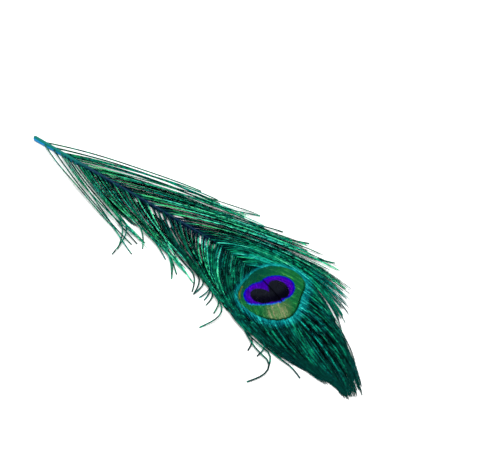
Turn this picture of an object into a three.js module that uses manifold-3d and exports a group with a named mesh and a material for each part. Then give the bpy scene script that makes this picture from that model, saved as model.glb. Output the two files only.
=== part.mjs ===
// A peacock's eye feather lying flat, front side up: a bare quill that tapers into the shaft, with a loose vane of
// barbs on each side that closes up round the eye near the tip. It grew as one piece, so it is one closed solid:
// the barbs are gathered into locks that are fused to the shaft, and a thin web closes the eye.
//
// Millimetres, +Z up, +X from the quill towards the tip. The underside lies in the plane z = 0, and the origin is
// the middle of the feather's bounding box at that height. Colour alone makes the eye, so nothing is raised there.

import * as THREE from "three";
import { mergeVertices } from "three/addons/utils/BufferGeometryUtils.js";
import Module from "manifold-3d";

// Shaft: straight from the quill's end, then an arc that curls to the feather's right.
const SHAFT_LENGTH = 246;
const STRAIGHT_LENGTH = 160;
const CURL_RADIUS = 195;
const QUILL_RADIUS = 1.7;
const QUILL_ROUNDING = 2.2; // length of the rounding at the quill's end
const QUILL_FACE_SHARE = 0.45; // radius of the flat left at that end, as a share of the quill's
const SHAFT_TIP_RADIUS = 0.35;
const TAPER_POWER = 0.9; // below 1 the shaft thins more near the quill than near the tip
const SHAFT_SIDES = 8;
const SHAFT_STEPS = 24;
const FIRST_STEP_SHARE = 0.25; // length of the step at the quill's end, as a share of an even one
const SHAFT_SINK = 0.2; // share of the radius that the flat underside takes off

// Locks: loose ones along the shaft and closer ones round the eye, on each side, and single ones that stray.
const LOOSE_LOCKS = { firstRoot: 11, lastRoot: 160, count: 16, width: 3.6, steps: 5 };
const EYE_LOCKS = { firstRoot: 167, lastRoot: 245, count: 12, width: 6.4, steps: 7 };
const STRAY_LOCK = { width: 1.8, steps: 16 };
const LOCK_SIDES = 3;
const ROOT_THICKNESS = 1.5;
const CROWN_THICKNESS = 2.6;
const TIP_THICKNESS = 0.5;
const ROOT_SHARE = 0.35; // width at a lock's root, as a share of its full width
const TIP_SHARE = 0.16; // the same at its tip
const WIDENING = 2.6; // how fast a lock widens from its root, in full widths per length
const NARROWING = 2.2; // the same towards its tip
const BEND_SHARE = 0.85; // below 1 a lock bends more near its root than near its tip

// Shape of the vane: distance of the root along the shaft, then the value there. Angles are in degrees away from
// the shaft, and a negative one at the tip turns in towards the feather's axis. A stray lock leaves the vane at a
// share of its length, turns by its own degrees there, and has its own length as a share of its neighbours'.
const VANES = {
  left: {
    turn: 1,
    length: [[11, 120], [60, 112], [100, 112], [140, 104], [170, 92], [190, 84], [210, 80], [228, 70], [245, 52]],
    rootAngle: [[11, 18], [100, 19], [140, 25], [165, 35], [185, 46], [205, 46], [225, 30], [245, 7]],
    tipAngle: [
      [11, 10], [100, 12], [130, 7], [150, -6], [170, -26], [186, -46], [205, -42], [225, -22], [245, -9],
    ],
    strays: [],
  },
  right: {
    turn: -1,
    length: [[11, 127], [45, 97], [100, 86], [140, 78], [165, 86], [185, 94], [205, 82], [225, 68], [245, 50]],
    rootAngle: [
      [11, 18], [45, 20], [100, 26], [140, 36], [158, 52], [175, 57], [205, 45], [225, 28], [245, 7],
    ],
    tipAngle: [[11, 10], [45, 4], [100, 4], [140, 13], [158, 4], [175, -4], [190, -16], [225, -14], [245, -9]],
    strays: [
      { root: 54, leaves: 0.7, turn: 60, stretch: 1.05 },
      { root: 139, leaves: 0.8, turn: 95, stretch: 1.27 },
      { root: 178, leaves: 0.82, turn: 115, stretch: 1.16 },
    ],
  },
};

// Web of the eye: a thin oval plate under the locks, square to the shaft where it passes through.
const EYE_ALONG_SHAFT = 219;
const EYE_HALF_LENGTH = 22;
const EYE_HALF_WIDTH = 20;
const WEB_THICKNESS = 0.9;
const WEB_SIDES = 28;

const MERGE_DISTANCE = 1e-4;
const FEATHER_MATERIAL = new THREE.MeshStandardMaterial({ color: 0x0b5f48, roughness: 0.45, metalness: 0.35 });

const wasm = await Module();
wasm.setup();

// Value at s on straight lines between the points.
function along(points, s) {
  const next = points.findIndex(([at]) => at >= s);
  if (next <= 0) return next === 0 ? points[0][1] : points[points.length - 1][1];
  const [s0, v0] = points[next - 1];
  const [s1, v1] = points[next];
  return THREE.MathUtils.mapLinear(s, s0, s1, v0, v1);
}

// Place and heading of the shaft at the distance s from the quill's end.
function shaftAt(s) {
  if (s <= STRAIGHT_LENGTH) return { x: s, y: 0, heading: 0 };
  const turned = (s - STRAIGHT_LENGTH) / CURL_RADIUS;
  return {
    x: STRAIGHT_LENGTH + CURL_RADIUS * Math.sin(turned),
    y: -CURL_RADIUS * (1 - Math.cos(turned)),
    heading: -turned,
  };
}

// Closed blade along a path: a closed cylinder whose rings are set square to the path. The section at share t is
// given by its half width, its middle height and its half thickness, and nothing goes below the ground.
function blade(path, section, sides, startAngle) {
  const steps = path.length - 1;
  const geometry = new THREE.CylinderGeometry(1, 1, steps, sides, steps, false, startAngle);
  const position = geometry.getAttribute("position");
  for (let i = 0; i < position.count; i++) {
    const ring = Math.round(steps / 2 - position.getY(i));
    const { x, y, heading } = path[ring];
    const { halfWidth, middle, halfThickness } = section(ring / steps);
    const across = position.getX(i) * halfWidth;
    const height = Math.max(0, middle + position.getZ(i) * halfThickness);
    position.setXYZ(i, x - Math.sin(heading) * across, y + Math.cos(heading) * across, height);
  }
  return geometry;
}

// The geometry as a solid that can be joined, with its faces pointing out.
function solid(geometry) {
  geometry.deleteAttribute("normal");
  geometry.deleteAttribute("uv");
  const merged = mergeVertices(geometry, MERGE_DISTANCE);
  const vertProperties = merged.getAttribute("position").array;
  const made = new wasm.Manifold(
    new wasm.Mesh({ numProp: 3, vertProperties, triVerts: new Uint32Array(merged.index.array) }),
  );
  if (made.volume() < 0) throw new Error("a blade is inside out");
  return made;
}

// The steps along the shaft are short at the quill's end, where it is rounded, and grow towards the tip.
function shaft() {
  const distance = (t) => SHAFT_LENGTH * t * (FIRST_STEP_SHARE + (1 - FIRST_STEP_SHARE) * t);
  const path = Array.from({ length: SHAFT_STEPS + 1 }, (_, i) => shaftAt(distance(i / SHAFT_STEPS)));
  const section = (t) => {
    const s = distance(t);
    const taper = THREE.MathUtils.lerp(QUILL_RADIUS, SHAFT_TIP_RADIUS, (s / SHAFT_LENGTH) ** TAPER_POWER);
    const rounded = Math.min(1, s / QUILL_ROUNDING);
    const radius = taper * THREE.MathUtils.lerp(QUILL_FACE_SHARE, 1, Math.sqrt(rounded * (2 - rounded)));
    return { halfWidth: radius, middle: taper * (1 - SHAFT_SINK), halfThickness: radius };
  };
  return solid(blade(path, section, SHAFT_SIDES, Math.PI / SHAFT_SIDES));
}

// Path of a lock from its root on the shaft, bending from its root angle to its tip angle as it goes out. A stray
// one turns away from its neighbours on the rest of its length.
function lockPath(vane, root, steps, { leaves = 1, turn = 0, stretch = 1 }) {
  const step = (along(vane.length, root) * stretch) / steps;
  const rootAngle = along(vane.rootAngle, root);
  const tipAngle = along(vane.tipAngle, root);
  const start = shaftAt(root);
  const headingAt = (t) => {
    const straying = leaves < 1 ? THREE.MathUtils.clamp((t - leaves) / (1 - leaves), 0, 1) : 0;
    const bent = THREE.MathUtils.lerp(rootAngle, tipAngle, t ** BEND_SHARE);
    const angle = bent + turn * Math.sin((straying * Math.PI) / 2);
    return start.heading + vane.turn * THREE.MathUtils.degToRad(angle);
  };
  const path = [{ x: start.x, y: start.y, heading: headingAt(0) }];
  for (let i = 1; i <= steps; i++) {
    const { x, y } = path[i - 1];
    const onTheWay = headingAt((i - 0.5) / steps);
    path.push({ x: x + step * Math.cos(onTheWay), y: y + step * Math.sin(onTheWay), heading: headingAt(i / steps) });
  }
  return path;
}

// A lock has a ridge along its back and a flat underside on the ground.
function lock(vane, root, { width, steps }, stray = {}) {
  const cornerReach = Math.cos(Math.PI / (2 * LOCK_SIDES));
  const section = (t) => {
    const fill = Math.min(1, ROOT_SHARE + WIDENING * t, TIP_SHARE + NARROWING * (1 - t));
    const rise = THREE.MathUtils.lerp(ROOT_THICKNESS, CROWN_THICKNESS, Math.sin(Math.PI * t));
    return {
      halfWidth: ((width / 2) * fill) / cornerReach,
      middle: 0,
      halfThickness: THREE.MathUtils.lerp(rise, TIP_THICKNESS, t ** 2),
    };
  };
  return solid(blade(lockPath(vane, root, steps, stray), section, LOCK_SIDES, 0));
}

function locks() {
  const made = [];
  for (const vane of Object.values(VANES)) {
    for (const kind of [LOOSE_LOCKS, EYE_LOCKS]) {
      for (let i = 0; i < kind.count; i++) {
        const root = THREE.MathUtils.lerp(kind.firstRoot, kind.lastRoot, i / (kind.count - 1));
        made.push(lock(vane, root, kind));
      }
    }
    for (const stray of vane.strays) made.push(lock(vane, stray.root, STRAY_LOCK, stray));
  }
  return made;
}

function eyeWeb() {
  const web = new THREE.CylinderGeometry(1, 1, WEB_THICKNESS, WEB_SIDES);
  web.rotateX(Math.PI / 2);
  web.scale(EYE_HALF_LENGTH, EYE_HALF_WIDTH, 1);
  const { x, y, heading } = shaftAt(EYE_ALONG_SHAFT);
  web.rotateZ(heading);
  web.translate(x, y, WEB_THICKNESS / 2);
  return solid(web);
}

function geometryOf(body) {
  const { vertProperties, triVerts } = body.getMesh();
  const geometry = new THREE.BufferGeometry();
  geometry.setAttribute("position", new THREE.BufferAttribute(vertProperties, 3));
  geometry.setIndex(new THREE.BufferAttribute(triVerts, 1));
  geometry.computeVertexNormals();
  return geometry;
}

const body = [shaft(), eyeWeb(), ...locks()].reduce((joined, piece) => joined.add(piece));
const featherGeometry = geometryOf(body);
featherGeometry.computeBoundingBox();
const { min, max } = featherGeometry.boundingBox;

const feather = new THREE.Mesh(featherGeometry, FEATHER_MATERIAL);
feather.name = "feather";
feather.position.set(-(min.x + max.x) / 2, -(min.y + max.y) / 2, -min.z);

const part = new THREE.Group();
part.add(feather);

export default part;
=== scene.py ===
"""A dyed peacock eye feather lying flat, front side up.

The shaft is modelled with bmesh. The barbs are joined meshes made from arrays: each barb is a thin tapering
ramus with rows of flat barbules on both sides. Feather coordinates are millimetres: x along the straight part
of the shaft from the quill's end, y to the feather's left, z up from the surface that it lies on.
"""

import math

import bmesh
import bpy
import numpy as np
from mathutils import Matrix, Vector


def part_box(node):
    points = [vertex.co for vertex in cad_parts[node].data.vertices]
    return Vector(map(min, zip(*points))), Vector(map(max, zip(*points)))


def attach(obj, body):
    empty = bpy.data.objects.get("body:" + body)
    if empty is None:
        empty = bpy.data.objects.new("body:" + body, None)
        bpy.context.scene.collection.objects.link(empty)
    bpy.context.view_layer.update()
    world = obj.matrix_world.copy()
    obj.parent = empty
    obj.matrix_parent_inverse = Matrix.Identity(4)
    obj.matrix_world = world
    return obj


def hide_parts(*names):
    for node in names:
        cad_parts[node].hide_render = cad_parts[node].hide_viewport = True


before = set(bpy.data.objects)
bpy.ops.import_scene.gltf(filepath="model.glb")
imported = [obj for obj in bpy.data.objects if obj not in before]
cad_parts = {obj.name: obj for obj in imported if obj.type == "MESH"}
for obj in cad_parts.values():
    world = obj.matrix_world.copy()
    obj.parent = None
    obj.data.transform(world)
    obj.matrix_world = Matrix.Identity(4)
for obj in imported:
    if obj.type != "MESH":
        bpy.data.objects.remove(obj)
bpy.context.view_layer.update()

MM = 0.001
NODE = "feather"

# ------------------------------------------------------------------------------------------------------
# Where feather coordinates lie in the frame: the quill's end is the solid's lowest x, and its sides are even.

solid_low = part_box(NODE)[0]
QUILL_SAMPLE = 5 * MM  # the vertices on this length of the quill give the shaft's middle line
quill_y = [v.co.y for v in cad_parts[NODE].data.vertices if v.co.x < solid_low.x + QUILL_SAMPLE]
ORIGIN = np.array([solid_low.x, (min(quill_y) + max(quill_y)) / 2, 0.0])


def to_frame(points):
    """Feather coordinates in millimetres as frame coordinates in metres."""
    return np.asarray(points, float) * MM + ORIGIN


# ------------------------------------------------------------------------------------------------------
# The feather's own dimensions, as its solid has them.

SHAFT_LENGTH = 246.0
STRAIGHT_LENGTH = 160.0
CURL_RADIUS = 195.0
QUILL_RADIUS = 1.7
SHAFT_TIP_RADIUS = 0.35
TAPER_POWER = 0.9  # below 1 the shaft thins more near the quill than near the tip
SHAFT_SINK = 0.2  # share of the radius that the flat underside takes off
BEND_SHARE = 0.85  # below 1 a barb bends more near its root than near its tip

# Distance of a barb's root along the shaft, then the value there. Angles are degrees away from the shaft.
# looseness is 1 where barbs wander freely and 0 where they lie closed. calm evens out the painted light and
# shade of the strands. lock_pitch is how far apart the locks leave the shaft, in millimetres. slit_chance is
# the share of the partings between locks that open as slits near the shaft.
# Each stray barb is given by its root, the share of its length where it leaves the vane, its turn there in
# degrees and its length as a share of its neighbours'.
LEFT = dict(
    turn=1,
    length=[
        (11, 120), (60, 112), (100, 112), (140, 104), (170, 92), (190, 84), (210, 80), (228, 70), (245, 52),
    ],
    root_angle=[(11, 18), (100, 19), (140, 25), (165, 35), (185, 46), (205, 46), (225, 30), (246, 0)],
    tip_angle=[
        (11, 10), (100, 12), (130, 7), (150, -8), (170, -28), (186, -46), (205, -42), (225, -22), (246, -3),
    ],
    looseness=[(60, 1.0), (105, 0.5), (140, 0.25), (165, 0.12), (246, 0.1)],
    calm=[(130, 0.0), (175, 0.4), (246, 0.4)],
    lock_pitch=[(46, 7.6), (135, 7.2), (165, 3.6), (190, 1.6), (246, 1.6)],
    slit_chance=[(80, 0.0), (110, 0.4), (165, 0.4), (175, 0.0)],
    strays=[(60, 0.8, 14, 1.05), (84, 0.75, 12, 1.0), (103, 0.8, 14, 1.0), (127, 0.85, 15, 1.0)],
)
RIGHT = dict(
    turn=-1,
    length=[
        (11, 127), (45, 97), (100, 86), (140, 78), (165, 86), (185, 94), (205, 82), (225, 68), (245, 50),
    ],
    root_angle=[
        (11, 22), (45, 23), (100, 28), (140, 36), (158, 52), (175, 57), (205, 45), (225, 28), (246, 0),
    ],
    tip_angle=[
        (11, 12), (45, 8), (100, 8), (140, 14), (158, 4), (175, -4), (190, -16), (225, -14), (246, -3),
    ],
    looseness=[(140, 1.0), (185, 0.25), (246, 0.1)],
    calm=[(160, 0.0), (175, 0.3), (215, 0.5), (246, 0.5)],
    lock_pitch=[(46, 5.2), (140, 4.6), (165, 2.4), (185, 1.4), (246, 1.6)],
    slit_chance=[(80, 0.1), (115, 0.45), (175, 0.55), (190, 0.0)],
    strays=[
        (49, 0.72, 46, 1.02), (54, 0.7, 60, 1.05), (58, 0.74, 40, 1.0), (70, 0.78, 20, 1.05),
        (88, 0.72, 24, 1.05), (92, 0.75, 36, 1.05), (97, 0.72, 30, 1.02), (112, 0.8, 45, 1.06),
        (120, 0.82, 60, 1.04), (124, 0.84, 80, 1.02), (127, 0.86, 66, 1.04), (130, 0.84, 88, 1.02),
        (133, 0.86, 70, 1.04), (136, 0.84, 92, 1.0), (139, 0.8, 95, 1.27), (142, 0.84, 60, 1.04),
        (168, 0.88, 70, 1.02), (172, 0.88, 90, 1.03), (175, 0.9, 60, 1.06), (178, 0.82, 115, 1.16),
        (184, 0.9, 24, 1.06),
    ],
)


def along(points, s):
    """Value at s on straight lines between the points."""
    return np.interp(s, [p[0] for p in points], [p[1] for p in points])


def ease(t):
    """0 to 1 with a soft start and end."""
    t = np.clip(t, 0, 1)
    return t * t * (3 - 2 * t)


def shaft_at(s):
    """x, y and heading of the shaft at the distances s from the quill's end."""
    turned = np.maximum(s - STRAIGHT_LENGTH, 0) / CURL_RADIUS
    x = np.minimum(s, STRAIGHT_LENGTH) + CURL_RADIUS * np.sin(turned)
    return x, -CURL_RADIUS * (1 - np.cos(turned)), -turned


def shaft_radius(s):
    return QUILL_RADIUS + (SHAFT_TIP_RADIUS - QUILL_RADIUS) * (s / SHAFT_LENGTH) ** TAPER_POWER


# ------------------------------------------------------------------------------------------------------
# Outlines of the eye's markings, as millimetres outside each of them, so inside is negative.

EYE = (221.0, -10.6)  # middle of the ring, and the other places are given from here
RING_RADIUS = 18.3
# The ring isn't round: order, size in millimetres and turn in radians of what is added to its radius.
RING_WAVES = ((2, 2.2, -2.03), (3, 0.65, -1.43), (4, 0.65, -2.26))
# Circles are a centre and a radius. Ovals are a centre, their half axes and their turn in degrees.
HEART_FRONT = ((-14.0, 5.5), 23.3)  # cuts the two lobes off on their far side
HEART_LOBES = (((-0.7, 4.0), 9.3), ((-1.3, -4.4), 10.3))
PUPIL_OVALS = (((0.8, 3.8), (7.4, 5.0), -25), ((-2.0, -6.0), (6.4, 5.2), 0))
PUPIL_NECK = ((2.3, -2.0), 4.4)  # joins the two ovals
PUPIL_GAP = 0.8  # millimetres that the pupil stays inside the heart's front
GOLD_PATCH = ((10.8, -8.3), (9.0, 6.2), -56)
STREAK_ANGLE = math.radians(-135)
STREAK_HALF_ANGLE = math.radians(17)
STREAK_PLACE = -1.1  # millimetres inside the ring


def circle(x, y, centre, radius):
    return np.hypot(x - centre[0], y - centre[1]) - radius


def oval(x, y, centre, halves, degrees):
    c, s = math.cos(math.radians(degrees)), math.sin(math.radians(degrees))
    u = ((x - centre[0]) * c + (y - centre[1]) * s) / halves[0]
    v = ((y - centre[1]) * c - (x - centre[0]) * s) / halves[1]
    return (np.hypot(u, v) - 1) * halves[1]


def markings(x, y):
    """Ring, heart, its far edge, pupil, gold patch, thin gold streak and the shaft's line in the heart."""
    spine = np.abs(np.hypot(x - STRAIGHT_LENGTH, y + CURL_RADIUS) - CURL_RADIUS)
    x, y = x - EYE[0], y - EYE[1]
    angle = np.arctan2(y, x)
    waves = sum(size * np.cos(order * angle - turn) for order, size, turn in RING_WAVES)
    ring = np.hypot(x, y) - RING_RADIUS - waves
    front = circle(x, y, *HEART_FRONT)
    lobes = np.minimum(*(circle(x, y, *lobe) for lobe in HEART_LOBES))
    heart = np.maximum(lobes, front)
    ovals = np.minimum(*(oval(x, y, *shape) for shape in PUPIL_OVALS))
    pupil = np.minimum(ovals, circle(x, y, *PUPIL_NECK))
    aside = np.maximum(np.abs(angle - STREAK_ANGLE) - STREAK_HALF_ANGLE, 0) * RING_RADIUS
    return dict(
        ring=ring,
        heart=heart,
        front=np.maximum(np.abs(front), lobes),
        pupil=np.maximum(pupil, front + PUPIL_GAP),
        gold=oval(x, y, *GOLD_PATCH),
        streak=np.hypot(ring - STREAK_PLACE, aside),
        spine=np.maximum(spine, heart),
    )


# ------------------------------------------------------------------------------------------------------
# Materials

# Colours by the painted brightness of a strand, from the painted shade between the strands to their painted
# glints.
HERL = [
    (0.1, "#000102"), (0.3, "#010c0c"), (0.46, "#044039"), (0.62, "#0a8866"), (0.8, "#1cc48c"),
    (1.0, "#66f0bc"),
]
TURQUOISE = [(0.2, "#01141a"), (0.45, "#044e58"), (0.7, "#0a9c9c"), (1.0, "#38dcd4")]
RING_BAND = [(0.1, "#046a72"), (0.5, "#0a9a9c"), (1.0, "#30c8c0")]
RING_GREEN = [(0.1, "#032a1a"), (0.45, "#0f6438"), (0.7, "#1f7c42"), (1.0, "#58b45c")]
GOLD = [(0.15, "#18602e"), (0.4, "#3e8048"), (0.6, "#72905e"), (0.8, "#a8a07c"), (1.0, "#c4b294")]
VIOLET = [(0.1, "#2c0078"), (0.5, "#4300a4"), (1.0, "#5c10c8")]

ROOT_BLUE = "#04142e"
DEEP_GREEN = "#044a3e"
GOLD_STREAK = "#8c8428"
RING_LINE = "#043a20"
HEART_RIM = "#0e08b8"
HEART_EDGE = "#1a88d8"
PUPIL_FAR = "#080816"
PUPIL_NEAR = "#1c1f28"
SPINE_BLACK = "#03030a"
QUILL_TEAL = "#006860"
QUILL_BLUE_REFLECTION = "#007cb8"
SHAFT_BLUE = "#022a44"
CARD_WHITE = (0.92, 0.92, 0.92, 1)

# Places along the frame's x, in metres, between which one colour passes into another.
TURQUOISE_SPREADS_X = (0.065, 0.09)
DEEP_GREEN_X = (0.072, 0.060)
RING_LINE_X = (0.077, 0.087)
SHAFT_BLUE_X = (-0.11, -0.078)
QUILL_FLANK = (-1.15, -1.5)  # the same across the quill, in feather coordinates

# Painted light and shade of the strands: painted shade at the partings between locks, painted light in their
# middles, and painted glints along them.
LOCK_SHADE_EDGE = (0.1, 0.36)  # from a parting to the middle of a lock is 0 to 0.5, and the strand lights up here
LOCK_BRIGHTNESS = (0.4, 1.25)
CALM_LOCK_LIGHT = 0.72  # brightness of evened out strands, and below that of evened out glints
CALM_GLINT = 0.85
GLINT_CONTRAST = (0.36, 0.64)  # this part of the noise
GLINT_BRIGHTNESS = (0.35, 1.35)  # gives this brightness
GLINTS_PER_LOCK = 5.0
TEAL_PATCHES = (0.45, 0.68)
TEAL_HUE = 0.545
LIME_HUE = 0.43


def linear(hex_colour):
    """sRGB hex to a linear RGBA tuple."""
    channels = [int(hex_colour[i:i + 2], 16) / 255 for i in (1, 3, 5)]
    return tuple(c / 12.92 if c <= 0.04045 else ((c + 0.055) / 1.055) ** 2.4 for c in channels) + (1.0,)


def add(tree, kind, inputs=None, output=None, stops=None, **settings):
    """Adds a node. inputs are values, hex colours or other nodes' outputs, by socket. Returns one output."""
    node = tree.nodes.new("ShaderNode" + kind)
    for key, value in settings.items():
        setattr(node, key, value)
    for key, value in (inputs or {}).items():
        if isinstance(value, bpy.types.NodeSocket):
            tree.links.new(value, node.inputs[key])
        else:
            node.inputs[key].default_value = linear(value) if isinstance(value, str) else value
    if stops:
        elements = node.color_ramp.elements
        elements.remove(elements[1])
        for i, (place, colour) in enumerate(stops):
            element = elements.new(place) if i else elements[0]
            element.position = place
            element.color = linear(colour)
    return node.outputs[output] if output else next(o for o in node.outputs if o.enabled)


def pass_into(tree, value, low, high, before, after, most=1.0):
    """Colour before that eases into after as value goes from low to high.

    most is the largest share of after.
    """
    share = add(tree, "MapRange", {0: value, 1: low, 2: high, 4: most}, interpolation_type="SMOOTHSTEP")
    return add(tree, "Mix", {0: share, 6: before, 7: after}, data_type="RGBA")


def new_material(name, metallic, roughness, specular):
    """A material with its tree and its Principled shader."""
    material = bpy.data.materials.new(name)
    material.use_nodes = True
    shader = material.node_tree.nodes["Principled BSDF"]
    shader.inputs["Metallic"].default_value = metallic
    shader.inputs["Roughness"].default_value = roughness
    shader.inputs["Specular IOR Level"].default_value = specular
    return material, material.node_tree, shader


def herl(tree, glint_length):
    """Dyed green herl: painted near-black shade between the strands, painted emerald glints, teal in places.

    Returns it with the painted brightness of the strand at this place. glint_length is a factor on the
    painted glints' length.
    """
    lane, reach, calm, shade = (
        add(tree, "Attribute", attribute_name=name, output="Fac")
        for name in ("lane", "reach", "calm", "shade"))
    low, high = LOCK_SHADE_EDGE
    # Painted shade at the partings between locks, painted light in their middles, by the place across the
    # lock.
    side = add(tree, "Math", {0: lane, 1: 0.5}, operation="PINGPONG")
    lock_light = add(tree, "MapRange", {0: side, 1: low, 2: high}, interpolation_type="SMOOTHSTEP")
    low, high = LOCK_BRIGHTNESS
    lock = add(tree, "Math", {0: lane}, operation="FLOOR")
    own = add(tree, "TexWhiteNoise", {"W": lock}, noise_dimensions="1D", output="Value")
    own = add(tree, "MapRange", {0: own, 3: low, 4: high})
    lock_light = add(tree, "Math", {0: lock_light, 1: own}, operation="MULTIPLY")
    lock_light = add(tree, "Mix", {0: calm, 2: lock_light, 3: CALM_LOCK_LIGHT})
    # Painted glints are 1 to 4 mm long along a barb, times glint_length. Neighbouring barbs share them in
    # part.
    across = add(tree, "Math", {0: lane, 1: GLINTS_PER_LOCK}, operation="MULTIPLY")
    ahead = add(tree, "Math", {0: reach, 1: glint_length}, operation="DIVIDE")
    place = add(tree, "CombineXYZ", {0: ahead, 1: across})
    glint = add(tree, "TexNoise", {"Vector": place, "Scale": 0.3, "Detail": 2.0, "Roughness": 0.7})
    (low, high), (dim, lit) = GLINT_CONTRAST, GLINT_BRIGHTNESS
    glint = add(tree, "MapRange", {0: glint, 1: low, 2: high, 3: dim, 4: lit})
    glint = add(tree, "Mix", {0: calm, 2: glint, 3: CALM_GLINT})
    bright = add(tree, "Math", {0: lock_light, 1: glint}, operation="MULTIPLY")
    dimmed = add(tree, "Math", {0: bright, 1: shade}, operation="MULTIPLY")
    colour = add(tree, "ValToRGB", {0: dimmed}, output="Color", stops=HERL)
    patch = add(tree, "TexNoise", {"Vector": place, "Scale": 0.05, "Detail": 1.0})
    teal = add(tree, "HueSaturation", {"Hue": TEAL_HUE, "Color": colour})
    return pass_into(tree, patch, *TEAL_PATCHES, colour, teal), bright


def shine(tree, bright):
    """The iridescent layer mirrors light where the strand's painted brightness is high, and not in the
    painted shade of the partings.
    """
    return add(tree, "MapRange", {0: bright, 1: 0.2, 2: 0.7, 4: 0.55})


def barb_material():
    """Dyed peacock herl, keratin with a thin iridescent layer: silky, metallic green with painted glints on
    painted near-black shade.
    """
    material, tree, shader = new_material("dyed_herl", metallic=0.0, roughness=0.42, specular=0.0)
    colour, bright = herl(tree, glint_length=1.0)
    lime = add(tree, "Attribute", attribute_name="lime", output="Fac")
    reach = add(tree, "Attribute", attribute_name="reach", output="Fac")
    yellower = add(
        tree, "HueSaturation", {"Hue": LIME_HUE, "Saturation": 0.95, "Value": 0.85, "Color": colour})
    colour = pass_into(tree, lime, 0.0, 1.0, colour, yellower)
    # Dark blue on the last millimetres next to the shaft.
    colour = pass_into(tree, reach, 9.0, 1.0, colour, ROOT_BLUE, 0.85)
    tree.links.new(colour, shader.inputs["Base Color"])
    tree.links.new(shine(tree, bright), shader.inputs["Metallic"])
    return material


def eye_material():
    """The closed vane of the eye: the same herl, coloured in rings, with longer painted glints.

    The numbers after a marking are how far outside it the change of colour starts and ends, in millimetres.
    """
    material, tree, shader = new_material("eye_vane", metallic=0.0, roughness=0.42, specular=0.0)
    colour, bright = herl(tree, glint_length=2.0)
    ring, heart, front, pupil, gold, streak, spine = (
        add(tree, "Attribute", attribute_name=name, output="Fac")
        for name in ("ring", "heart", "front", "pupil", "gold", "streak", "spine"))
    # Each ring colour is read by the strand's painted brightness, so it carries the painted shade and glints
    # too.
    turquoise, band, green, golden, violet = (
        add(tree, "ValToRGB", {0: bright}, output="Color", stops=stops)
        for stops in (TURQUOISE, RING_BAND, RING_GREEN, GOLD, VIOLET))
    coordinates = add(tree, "TexCoord", output="Object")
    x = add(tree, "SeparateXYZ", {0: coordinates}, output="X")
    # Outside the ring: turquoise that fades into the green, slower near the tip, and a brighter band.
    low, high = TURQUOISE_SPREADS_X
    spread = add(tree, "MapRange", {0: x, 1: low, 2: high, 3: 3.0, 4: 6.0})
    fade = add(tree, "Math", {0: ring, 1: spread}, operation="DIVIDE")
    colour = pass_into(tree, fade, 1.0, 0.15, colour, turquoise)
    colour = pass_into(tree, ring, 1.5, 0.6, colour, band, 0.45)
    # Inside it: green with fine stripes, deeper on the quill's side, then gold in front of the heart.
    green = pass_into(tree, x, *DEEP_GREEN_X, green, DEEP_GREEN, 0.8)
    green = pass_into(tree, gold, 2.0, -4.0, green, golden)
    green = pass_into(tree, streak, 0.6, 0.1, green, GOLD_STREAK, 0.6)
    lined = pass_into(tree, ring, -1.7, -0.9, green, RING_LINE)
    green = pass_into(tree, x, *RING_LINE_X, green, lined)
    colour = pass_into(tree, ring, 0.1, -0.5, colour, green)
    # The heart: violet with a blue rim, and a thin bright edge on its far side.
    violet = pass_into(tree, heart, -1.4, -0.4, violet, HEART_RIM)
    colour = pass_into(tree, heart, 0.25, -0.15, colour, violet)
    colour = pass_into(tree, front, 0.7, 0.25, colour, HEART_EDGE, 0.9)
    dark = pass_into(tree, front, 4.0, 9.0, PUPIL_FAR, PUPIL_NEAR)
    colour = pass_into(tree, pupil, 0.3, -0.5, colour, dark)
    colour = pass_into(tree, spine, 0.7, 0.2, colour, SPINE_BLACK, 0.8)
    tree.links.new(colour, shader.inputs["Base Color"])
    tree.links.new(shine(tree, bright), shader.inputs["Metallic"])
    return material


def quill_material():
    """Dyed keratin, smooth as horn: teal above, a painted blue reflection on the flank, dark blue towards the
    tip.
    """
    material, tree, shader = new_material("dyed_quill", metallic=0.0, roughness=0.5, specular=0.08)
    place = add(tree, "TexCoord", output="Object")
    x = add(tree, "SeparateXYZ", {0: place}, output="X")
    y = add(tree, "SeparateXYZ", {0: place}, output="Y")
    low, high = (ORIGIN[1] + edge * MM for edge in QUILL_FLANK)
    # A painted blue reflection along the quill's right flank, over its teal.
    colour = pass_into(tree, y, low, high, QUILL_TEAL, QUILL_BLUE_REFLECTION)
    colour = pass_into(tree, x, *SHAFT_BLUE_X, colour, SHAFT_BLUE)
    tree.links.new(colour, shader.inputs["Base Color"])
    return material


def floor_material():
    """Matt white card."""
    material, _, shader = new_material("pale_card", metallic=0.0, roughness=0.8, specular=0.2)
    shader.inputs["Base Color"].default_value = CARD_WHITE
    return material


# ------------------------------------------------------------------------------------------------------
# Paths of the barbs. Neighbours cling together in locks, which part from each other near the shaft.

STATIONS = 36  # rings along a ramus
SINGLE_ROOTS = (11.0, 21.0, 30.0, 34.0, 38.0, 42.0)  # these barbs stand alone
SINGLE_SHIFT = 1.0  # how far off these places they may be
FIRST_LOCK = 46.0  # and from here on they lie in locks
LAST_ROOT = SHAFT_LENGTH - 0.3
EYE_START = 166.0  # barbs from here on close the vane round the eye
PITCH_SPREAD = (0.8, 1.2)  # width of a lock as a share of its even one
BARB_SPACING = [(46, 1.0), (140, 0.9), (155, 0.65), (180, 0.53)]
UPPER_SHARE = 0.6  # share of a lock, about its middle, whose barbs lie on top and are drawn together
BUNDLE = 0.35  # width that a loose lock is drawn to

# Each barb swings by a sum of waves that grow towards its tip.
WAVES = 3
WAVE_COUNT = 0.7  # how many times the first of them fits on a barb
SINGLE_WAVE = 3.0  # degrees
LOCK_WAVE = 1.7

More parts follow.
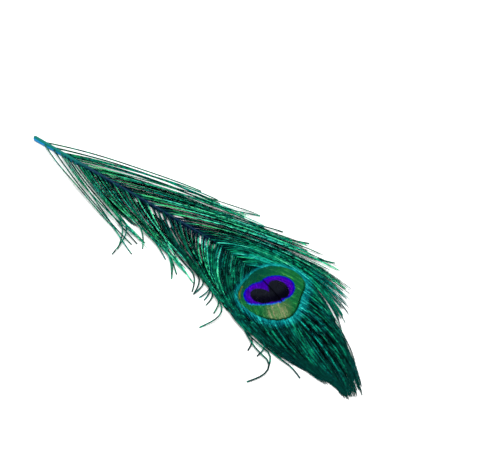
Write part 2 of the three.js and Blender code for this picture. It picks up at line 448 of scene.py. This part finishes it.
# Spreads of what is drawn at random: degrees for angles, radians for phases and shares for lengths.
LOCK_ROOT_SPREAD = 0.8
LOCK_TIP_SPREAD = 2.5
LOCK_LENGTH_SPREAD = 0.05
BARB_TIP_SPREAD = 1.2
BARB_PHASE_SPREAD = 0.6
BARB_LENGTH_SPREAD = (0.02, 0.04)  # where the vane is closed, and how much looseness adds
UNDER_FOLLOWS = 0.3  # how far the barbs under the partings follow the lock's own swing
UNDER_SHORTER = (0.05, 0.26)  # what they are shorter by, and how much looseness squared adds

# How the barbs of a lock are drawn together, with lengths in millimetres from the shaft.
HOLD_GROWTH = 2.5  # how fast the hold grows with looseness
HOLD_SPREAD = (0.7, 1.0)
HOLD_START = 8.0
STRAY_LETS_GO = (0.6, 0.15)  # share of its length where a stray barb leaves its lock, and how long that takes
SLIT_START = (0, 5)
SLIT_LENGTH = (2, 7)
SLIT_OPENING = 2.0
SLIT_CLOSING = 5.0
MIDDLE_WEIGHT = 5.0  # the higher, the nearer its lock's middle is the barb that is chosen to stray

# Heights by the root's distance along the shaft: a root's in radii of the shaft, the others in millimetres.
ROOT_HEIGHT = [(50, 0.9), (80, 1.4), (150, 1.5), (185, 2.0)]
TIP_HEIGHT = (0.25, 0.8)
CROWN = [(46, 1.1), (150, 1.0), (185, 0.2)]  # a lock's rise between root and tip
CROWN_SPREAD = (0.5, 1.5)
CROWN_POWER = 0.7  # below 1 the crown is flat in the middle
UPPER_RISE = [(150, 0.9), (185, 0.35)]  # and what its upper barbs lie above that
UNDER_CROWN = 0.6

# How far the painted light and shade of the strands are evened out, on top of the vane's own calm.
OUTER_PART = (0.62, 0.28)  # share of a barb's length where it starts, and the share on which it eases in
OUTER_CALM = 0.4
UNDER_CALM = 0.4  # what the barbs under the partings have more there
LEAST_UNDER_CALM = 0.35
ALONE_CALM = 0.6


def lay_roots(lock_pitch, draw):
    """Roots of one vane's barbs, the root in the middle of each one's lock, and its place across the vane.

    That place grows by 1 from lock to lock, and its whole numbers are the partings between locks.
    """
    rows = []
    for lane, s in enumerate(SINGLE_ROOTS):
        s += draw.uniform(-SINGLE_SHIFT, SINGLE_SHIFT)
        rows.append((s, s, lane + 0.5))
    s, lane = FIRST_LOCK, len(SINGLE_ROOTS)
    while s < SHAFT_LENGTH:
        pitch = along(lock_pitch, s) * draw.uniform(*PITCH_SPREAD)
        count = max(2, round(pitch / along(BARB_SPACING, s)))
        for i in range(count):
            part = (i + 0.5) / count
            rows.append((s + pitch * part, s + pitch / 2, lane + part))
        s, lane = s + pitch, lane + 1
    rows = np.array(rows)
    return rows[rows[:, 0] < LAST_ROOT].T


def trace(vane, roots, tweaks):
    """Points (barbs, stations, 2), headings and lengths of barbs that leave the shaft at these roots.

    tweaks is what each barb has of its own.
    """
    t = np.linspace(0, 1, STATIONS)
    mid = (t[1:] + t[:-1]) / 2
    x, y, heading = shaft_at(roots)
    root_angle = along(vane["root_angle"], roots) + tweaks["root"]
    tip_angle = along(vane["tip_angle"], roots) + tweaks["tip"]
    angle = np.radians(root_angle[:, None] + (tip_angle - root_angle)[:, None] * mid ** BEND_SHARE)
    for k in range(WAVES):
        wave = np.sin(2 * np.pi * (k + 1) * WAVE_COUNT * mid + tweaks["phase"][:, k:k + 1])
        angle = angle + np.radians(tweaks["wave"][:, None]) * mid * wave / (k + 1)
    leave = tweaks["leave"][:, None]
    stray = np.clip((mid - leave) / (1 - leave), 0, 1)
    angle = angle + np.radians(tweaks["stray"][:, None]) * np.sin(stray * np.pi / 2)
    way = heading[:, None] + vane["turn"] * angle
    length = along(vane["length"], roots) * tweaks["stretch"]
    stride = length[:, None] / (STATIONS - 1)
    points = np.zeros((len(roots), STATIONS, 2))
    points[:, :, 0] = x[:, None]
    points[:, :, 1] = y[:, None]
    points[:, 1:, 0] += np.cumsum(stride * np.cos(way), axis=1)
    points[:, 1:, 1] += np.cumsum(stride * np.sin(way), axis=1)
    headings = np.concatenate([way[:, :1], (way[:, 1:] + way[:, :-1]) / 2, way[:, -1:]], axis=1)
    return points, headings, length


def grow_vane(vane, seed):
    """All the barbs of one side, as a dictionary of arrays."""
    draw = np.random.default_rng(seed)
    roots, middles, lane = lay_roots(vane["lock_pitch"], draw)
    count = len(roots)
    lock = np.floor(lane).astype(int)
    locks = lock.max() + 1
    across = lane - lock - 0.5
    # The barbs under the partings take the partings' painted shade: a near-black backing that stands in for
    # the shade between the strands.
    under = np.abs(across) > UPPER_SHARE / 2
    loose = along(vane["looseness"], middles)
    # A lock's own way, then how its barbs differ from it.
    own = dict(
        root=loose * draw.normal(0, LOCK_ROOT_SPREAD, locks)[lock],
        tip=loose * draw.normal(0, LOCK_TIP_SPREAD, locks)[lock],
        wave=np.where(roots < FIRST_LOCK, SINGLE_WAVE, loose * LOCK_WAVE),
        phase=draw.uniform(0, 2 * np.pi, (locks, WAVES))[lock],
        leave=np.zeros(count),
        stray=np.zeros(count),
        stretch=1 + loose * draw.normal(0, LOCK_LENGTH_SPREAD, locks)[lock],
    )
    centre, centre_heading, _ = trace(vane, middles, own)
    single = dict(own)
    follows = np.where(under, UNDER_FOLLOWS, 1.0)
    single["tip"] = own["tip"] * follows + loose * draw.normal(0, BARB_TIP_SPREAD, count)
    single["wave"] = own["wave"] * follows
    single["phase"] = own["phase"] + draw.normal(0, BARB_PHASE_SPREAD, (count, WAVES))
    least, more = BARB_LENGTH_SPREAD
    single["stretch"] = own["stretch"] * (1 + (least + more * loose) * draw.normal(0, 1, count))
    least, more = UNDER_SHORTER
    single["stretch"] = single["stretch"] - (least + more * loose ** 2) * under
    stray = np.zeros(count, bool)
    for root, leave, turn, stretch in vane["strays"]:
        i = np.argmin(np.abs(roots - root) + MIDDLE_WEIGHT * np.abs(across))
        single["leave"][i] = leave
        single["stray"][i] = turn
        single["stretch"][i] = stretch
        stray[i] = True
    points, headings, length = trace(vane, roots, single)
    # The upper barbs of a loose lock are drawn together all the way. Those under the partings are drawn in
    # only on a short stretch near the shaft, where some partings are slits.
    t = np.linspace(0, 1, STATIONS)
    out = t[None, :] * length[:, None]
    hold = np.clip(HOLD_GROWTH * loose, 0, 1) * draw.uniform(*HOLD_SPREAD, locks)[lock]
    parting = lock + (across > 0)
    slit = draw.uniform(0, 1, locks + 1)[parting] < along(vane["slit_chance"], roots)
    slit_start = draw.uniform(*SLIT_START, locks + 1)[parting]
    slit_end = slit_start + draw.uniform(*SLIT_LENGTH, locks + 1)[parting]
    opens = ease((out - slit_start[:, None]) / SLIT_OPENING)
    closes = ease((out - slit_end[:, None]) / SLIT_CLOSING)
    start, stretch = STRAY_LETS_GO
    lets_go = stray[:, None] * ease((t - start) / stretch)
    held = hold[:, None] * ease(out / HOLD_START) * (1 - lets_go)
    pull = np.where(under[:, None], slit[:, None] * opens * (1 - closes), held)
    tangent = np.stack([np.cos(centre_heading), np.sin(centre_heading)], 2)
    normal = np.stack([-np.sin(centre_heading), np.cos(centre_heading)], 2) * -vane["turn"]
    lead = (roots - middles) * np.cos(np.radians(along(vane["root_angle"], roots)))
    target = centre + tangent * lead[:, None, None] + normal * (across * BUNDLE)[:, None, None]
    points = points + pull[:, :, None] * (target - points)
    # Height: off the shaft's flank, over a low crown, and down to the surface at the tip.
    base = shaft_radius(roots) * along(ROOT_HEIGHT, roots)
    tip = draw.uniform(*TIP_HEIGHT, count)
    crown = along(CROWN, roots) * draw.uniform(*CROWN_SPREAD, locks)[lock]
    rise = np.where(under, UNDER_CROWN * crown, crown + along(UPPER_RISE, roots))
    rise = rise[:, None] * np.sin(np.pi * t) ** CROWN_POWER
    height = base[:, None] + (tip - base)[:, None] * ease(t) + rise
    points = np.concatenate([points, height[:, :, None]], axis=2)
    alone = stray | (roots < FIRST_LOCK)
    start, stretch = OUTER_PART
    outer = ease((t[None, :] - start) / stretch) * (OUTER_CALM + UNDER_CALM * under)[:, None]
    calm = np.clip(along(vane["calm"], roots)[:, None] + outer, LEAST_UNDER_CALM * under[:, None], 1)
    return dict(
        roots=roots,
        points=points,
        headings=headings,
        length=length,
        lane=lane,
        calm=np.where(alone[:, None], ALONE_CALM, calm),
        alone=alone,
        under=under & ~alone,
        turn=vane["turn"],
        draw=draw,
    )


# ------------------------------------------------------------------------------------------------------
# Meshes of the barbs

RAMUS_SIDES = 3
RAMUS_RADIUS = 0.18
ALONE_GIRTH = 3.2  # girth of a barb that stands alone, as a share of the others'
TIP_GIRTH = 0.6  # girth at the tip as a share of that at the root
ALONE_TIP_GIRTH = 0.75
RAMUS_TAPER = 0.8
RAMUS_OUT = 0.06  # how far a ramus's sides reach across its strip of the UV map, where barbules reach 1

LOOSE_BARBULES = dict(spacing=0.36, reach=0.58, width=0.4)
EYE_BARBULES = dict(spacing=0.32, reach=0.75, width=0.36)
PLACE_SPREAD = 0.2  # of a barbule along its barb, in spacings
FIRST_PLACE = 0.005
REACH_SPREAD = 0.14
ALONE_REACH = 0.55  # how far barbules on barbs that stand alone reach, as a share of the upper ones'
UNDER_REACH = 1.6  # and those on the barbs under the partings
ROOT_REACH = 0.35  # barbules start this short at a barb's root
FULL_REACH = 4.0  # and are full from here on, in millimetres
TIP_REACH = 0.5  # and get this short at its tip
TIP_STRETCH = 0.06  # on this share of the barb
BARBULE_ANGLE = 42.0  # degrees away from the barb
BARBULE_DROOP = 14.0
ANGLE_SPREAD = 6.0
DROOP_SPREAD = 10.0
ROLL_SPREAD = 18.0
WIDEST_AT = 0.42  # share of a barbule's length
TIP_SWEEP = 0.16  # how far its tip points ahead of its line, as a share of its length

LEAST_HEIGHT = 0.05  # of the barbs above the surface
EDGE_WANDER = 0.18  # how far the markings' edges differ from barb to barb, in millimetres
LANE_SPREAD = 0.22  # places across the vane per millimetre out along a barbule
ALONE_LANE = 0.24  # place in its lock that a barb that stands alone takes its brightness from
RING_CALM = 0.65  # the strands inside the ring are evened out at least this far
VANE_SHADE = [(181, 1.0), (236, 0.7)]  # brightness along x: the vane gets darker past the eye
SHADED_SIDE = [(-7, 1.0), (12, 0.2)]  # share of that darkening along y: little of it on the left
# Where the herl is yellower: the largest share, the place along a barb and the spread about it.
LEFT_LIME = (0.5, 14.0, 12.0)
RIGHT_LIME = (0.4, 58.0, 18.0)
STRIP_START = 0.02  # of a barb's strip in the UV map
STRIP_LENGTH = 0.96
STRIP_HALF = 0.44  # half its width, in rows

UP = np.array([0.0, 0.0, 1.0])


def between(values, barb, t):
    """values (barbs, stations, ...) read at the share t of each barb."""
    place = np.clip(t, 0, 1) * (values.shape[1] - 1)
    low = np.minimum(place.astype(int), values.shape[1] - 2)
    part = place - low
    if values.ndim == 3:
        part = part[:, None]
    return values[barb, low] * (1 - part) + values[barb, low + 1] * part


def rami(barbs):
    """Vertices, triangles and per-vertex values of three-sided tapering rami."""
    points, headings = barbs["points"], barbs["headings"]
    t = np.linspace(0, 1, STATIONS)
    girth = RAMUS_RADIUS * np.where(barbs["alone"], ALONE_GIRTH, 1.0)
    thinnest = np.where(barbs["alone"], ALONE_TIP_GIRTH, TIP_GIRTH)[:, None]
    radius = (girth[:, None] * (thinnest + (1 - thinnest) * (1 - t) ** RAMUS_TAPER))[:, :, None]
    across = np.stack([-np.sin(headings), np.cos(headings), np.zeros_like(headings)], axis=2)
    turns = np.pi / 2 + 2 * np.pi * np.arange(RAMUS_SIDES) / RAMUS_SIDES
    rings = [points + radius * (across * math.cos(turn) + UP * math.sin(turn)) for turn in turns]
    vertices = np.stack(rings, axis=2).reshape(-1, 3)
    counts = (len(points), STATIONS, RAMUS_SIDES)
    barb, station, side = np.meshgrid(*(np.arange(n) for n in counts), indexing="ij")
    b, s, k = (grid[:, :-1].ravel() for grid in (barb, station, side))
    here = (b * STATIONS + s) * RAMUS_SIDES
    there = here + RAMUS_SIDES
    after = (k + 1) % RAMUS_SIDES
    lower = np.stack([here + k, here + after, there + after], 1)
    upper = np.stack([here + k, there + after, there + k], 1)
    out = (side.ravel() - 1) * RAMUS_OUT
    values = dict(barb=barb.ravel(), along=t[station.ravel()], out=out, aside=np.zeros(len(out)))
    return vertices, np.concatenate([lower, upper]), values


def barbules(barbs, spacing, reach, width):
    """Vertices, triangles and per-vertex values of flat pointed barbules on both sides of each barb."""
    points, headings, length, draw = barbs["points"], barbs["headings"], barbs["length"], barbs["draw"]
    per_barb = np.maximum((length / spacing).astype(int), 4)
    barb = np.repeat(np.arange(len(points)), per_barb * 2)
    t = np.concatenate([np.repeat((np.arange(n) + 0.5) / n, 2) for n in per_barb])
    side = np.tile([1.0, -1.0], int(per_barb.sum()))
    t = np.clip(t + draw.normal(0, PLACE_SPREAD, len(t)) * spacing / length[barb], FIRST_PLACE, 1)
    base, heading = between(points, barb, t), between(headings, barb, t)
    kind = np.where(barbs["alone"], ALONE_REACH, np.where(barbs["under"], UNDER_REACH, 1.0))[barb]
    near_root = ROOT_REACH + (1 - ROOT_REACH) * ease(t * length[barb] / FULL_REACH)
    size = reach * kind * (1 + draw.normal(0, REACH_SPREAD, len(t))) * near_root
    size = size * (TIP_REACH + (1 - TIP_REACH) * ease((1 - t) / TIP_STRETCH))
    lean = np.radians(BARBULE_ANGLE + draw.normal(0, ANGLE_SPREAD, len(t)))
    fall = np.radians(draw.normal(-BARBULE_DROOP, DROOP_SPREAD, len(t)))
    roll = np.radians(draw.normal(0, ROLL_SPREAD, len(t)))
    flat = np.zeros_like(heading)
    tangent = np.stack([np.cos(heading), np.sin(heading), flat], 1)
    across = np.stack([-np.sin(heading), np.cos(heading), flat], 1) * side[:, None]
    out = (
        tangent * np.cos(lean)[:, None]
        + across * (np.sin(lean) * np.cos(fall))[:, None]
        + UP * (np.sin(lean) * np.sin(fall))[:, None]
    )
    edge = (tangent * np.cos(roll)[:, None] + UP * np.sin(roll)[:, None]) * (width / 2)
    middle = base + out * (size * WIDEST_AT)[:, None]
    tip = base + out * size[:, None] + tangent * (size * TIP_SWEEP)[:, None]
    vertices = np.stack([base, middle - edge, middle + edge, tip], 1).reshape(-1, 3)
    # Both triangles of a barbule face up, whichever side it is on.
    first = np.arange(len(t))[:, None] * 4
    left = (side > 0)[:, None]
    inner = first + np.where(left, [0, 2, 1], [0, 1, 2])
    outer = first + np.where(left, [1, 2, 3], [2, 1, 3])
    shares = np.array([0.0, WIDEST_AT, WIDEST_AT, 1.0])
    ahead = (size * np.cos(lean))[:, None] * (shares + [0, 0, 0, TIP_SWEEP])
    ahead = ahead + width / 2 * np.array([0, -1, 1, 0])
    values = dict(
        barb=np.repeat(barb, 4),
        along=(t[:, None] + ahead / length[barb][:, None]).ravel(),
        out=(side[:, None] * shares).ravel(),
        aside=((side * size * np.sin(lean))[:, None] * shares).ravel(),
    )
    return vertices, np.concatenate([inner, outer]), values


def pick(barbs, low, high):
    """The barbs whose roots lie between low and high."""
    keep = (barbs["roots"] >= low) & (barbs["roots"] < high)
    return {k: v[keep] if isinstance(v, np.ndarray) else v for k, v in barbs.items()}


def bump(x, most, middle, spread):
    return most * np.exp(-((x - middle) / spread) ** 2)


def barb_piece(name, barbs, material, barbule):
    """One mesh of these barbs. Each barb has its own strip of the UV map."""
    parts = [rami(barbs), barbules(barbs, **barbule)]
    vertices = np.concatenate([p[0] for p in parts])
    faces = np.concatenate([parts[0][1], parts[1][1] + len(parts[0][0])])
    barb, t, out, aside = (
        np.concatenate([p[2][key] for p in parts]) for key in ("barb", "along", "out", "aside"))
    vertices[:, 2] = np.maximum(vertices[:, 2], LEAST_HEIGHT)
    mesh = bpy.data.meshes.new(name)
    mesh.from_pydata(to_frame(vertices).tolist(), [], faces.tolist())
    x, y = vertices[:, 0], vertices[:, 1]
    wander = barbs["draw"].normal(0, EDGE_WANDER, len(barbs["roots"]))[barb]
    values = markings(x + wander, y)
    plain = barbs["alone"] | barbs["under"]
    shift = np.where(plain[barb], 0, LANE_SPREAD * -barbs["turn"] * aside)
    alone_lane = np.floor(barbs["lane"]) + ALONE_LANE
    values["lane"] = np.where(barbs["alone"], alone_lane, barbs["lane"])[barb] + shift
    values["calm"] = np.maximum(between(barbs["calm"], barb, t), RING_CALM * (values["ring"] < 0))
    reach = t * barbs["length"][barb]
    values["reach"] = reach
    values["lime"] = np.where(y > 0, bump(reach, *LEFT_LIME), bump(reach, *RIGHT_LIME))
    shade = 1 - (1 - along(VANE_SHADE, x)) * along(SHADED_SIDE, y)
    values["shade"] = np.where(barbs["alone"][barb], 1.0, shade)
    for key, data in values.items():
        mesh.attributes.new(key, "FLOAT", "POINT").data.foreach_set("value", data.astype(np.float32))
    corner = np.empty(len(mesh.loops), np.int32)
    mesh.loops.foreach_get("vertex_index", corner)
    rows = barb.max() + 1
    u = STRIP_START + STRIP_LENGTH * np.clip(t, 0, 1)[corner]
    v = (barb[corner] + 0.5 + STRIP_HALF * out[corner]) / rows
    uv = np.stack([u, v], 1).astype(np.float32)
    mesh.uv_layers.new(name="OFBake").data.foreach_set("uv", uv.ravel())
    mesh.materials.append(material)
    piece = bpy.data.objects.new(name, mesh)
    bpy.context.scene.collection.objects.link(piece)
    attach(piece, "root")
    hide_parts(NODE)


# ------------------------------------------------------------------------------------------------------
# Shaft

SHAFT_SIDES = 16
SHAFT_RINGS = 110
RING_CROWDING = 1.6  # above 1 the rings lie closer at the quill's end
QUILL_ROUNDING = 2.2  # length of the rounding at the quill's end
QUILL_FACE_SHARE = 0.6  # radius of the flat left at that end, as a share of the quill's
CUT_SLANT = 1.6  # how much further on the quill's cut end lies on its right side than on its left
CUT_LENGTH = 4.0
SHAFT_LEAST_HEIGHT = 0.03


def shaft_piece(material):
    """Quill and shaft: a ring extruded along the shaft, a little flattened below, with a slanting cut."""
    maker = bmesh.new()
    ring = bmesh.ops.create_circle(maker, segments=SHAFT_SIDES, radius=1.0)["verts"]
    turns = [2 * math.pi * k / SHAFT_SIDES for k in range(SHAFT_SIDES)]
    stations = SHAFT_LENGTH * np.linspace(0, 1, SHAFT_RINGS) ** RING_CROWDING
    edges = maker.edges[:]
    for i, s in enumerate(stations):
        if i:
            made = bmesh.ops.extrude_edge_only(maker, edges=edges)["geom"]
            edges = [e for e in made if isinstance(e, bmesh.types.BMEdge)]
            ring = [v for v in made if isinstance(v, bmesh.types.BMVert)]
        x, y, heading = shaft_at(s)
        taper = shaft_radius(s)
        rounded = min(1.0, s / QUILL_ROUNDING)
        full = QUILL_FACE_SHARE + (1 - QUILL_FACE_SHARE) * math.sqrt(rounded * (2 - rounded))
        radius = taper * full
        slant = CUT_SLANT * max(0.0, 1 - s / CUT_LENGTH)
        for vert, turn in zip(ring, turns):
            side, height = math.cos(turn) * radius, math.sin(turn) * radius
            vert.co = to_frame((
                x + slant * (1 - side / radius) / 2 - math.sin(heading) * side,
                y + math.cos(heading) * side,
                max(SHAFT_LEAST_HEIGHT, taper * (1 - SHAFT_SINK) + height),
            ))
        if i == 0:
            bmesh.ops.contextual_create(maker, geom=edges)
    bmesh.ops.contextual_create(maker, geom=edges)
    bmesh.ops.recalc_face_normals(maker, faces=maker.faces[:])
    mesh = bpy.data.meshes.new("shaft")
    maker.to_mesh(mesh)
    maker.free()
    mesh.shade_smooth()
    mesh.materials.append(material)
    piece = bpy.data.objects.new("shaft", mesh)
    bpy.context.scene.collection.objects.link(piece)
    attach(piece, "root")
    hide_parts(NODE)


# ------------------------------------------------------------------------------------------------------
# Stage

FLOOR_REACH = 3.0  # metres from the middle to each side
SENSOR_WIDTH = 36.0
LENS = 54.0
NEAREST = 0.01
CAMERA_PLACE = (404.9, -226.6, 244.9)
CAMERA_PITCH = 36.0  # degrees down from level
CAMERA_TURN = 42.66  # degrees about the vertical, from looking along y
WORLD_STRENGTH = 0.8
# Name, place and size in metres, and power in watts. They point at the middle of the frame.
LIGHTS = (("key", (-0.1, 0.1, 1.2), 1.0, 15.0), ("fill", (0.9, -0.6, 0.9), 0.9, 3.0))


def floor():
    maker = bmesh.new()
    bmesh.ops.create_grid(maker, x_segments=1, y_segments=1, size=FLOOR_REACH)
    mesh = bpy.data.meshes.new("floor")
    maker.to_mesh(mesh)
    maker.free()
    mesh.materials.append(floor_material())
    piece = bpy.data.objects.new("floor", mesh)
    bpy.context.scene.collection.objects.link(piece)


def camera():
    data = bpy.data.cameras.new("camera")
    data.sensor_width = SENSOR_WIDTH
    data.lens = LENS
    data.clip_start = NEAREST
    viewer = bpy.data.objects.new("camera", data)
    viewer.location = to_frame(CAMERA_PLACE)
    viewer.rotation_euler = (math.radians(90 - CAMERA_PITCH), 0, math.radians(CAMERA_TURN))
    bpy.context.scene.collection.objects.link(viewer)
    bpy.context.scene.camera = viewer


def lights():
    world = bpy.data.worlds.new("studio")
    world.use_nodes = True
    background = world.node_tree.nodes["Background"]
    background.inputs["Color"].default_value = (1, 1, 1, 1)
    background.inputs["Strength"].default_value = WORLD_STRENGTH
    bpy.context.scene.world = world
    for name, place, size, power in LIGHTS:
        data = bpy.data.lights.new(name, "AREA")
        data.size = size
        data.energy = power
        lamp = bpy.data.objects.new(name, data)
        lamp.location = place
        lamp.rotation_euler = (-lamp.location).to_track_quat("-Z", "Y").to_euler()
        bpy.context.scene.collection.objects.link(lamp)


bpy.context.scene.view_settings.view_transform = "Standard"

loose_herl = barb_material()
eye_vane = eye_material()
shaft_piece(quill_material())
for side, vane, seed in (("left", LEFT, 3), ("right", RIGHT, 5)):
    barbs = grow_vane(vane, seed)
    barb_piece(side + "_barbs", pick(barbs, 0, EYE_START), loose_herl, LOOSE_BARBULES)
    barb_piece(side + "_eye_vane", pick(barbs, EYE_START, SHAFT_LENGTH), eye_vane, EYE_BARBULES)

floor()
camera()
lights()
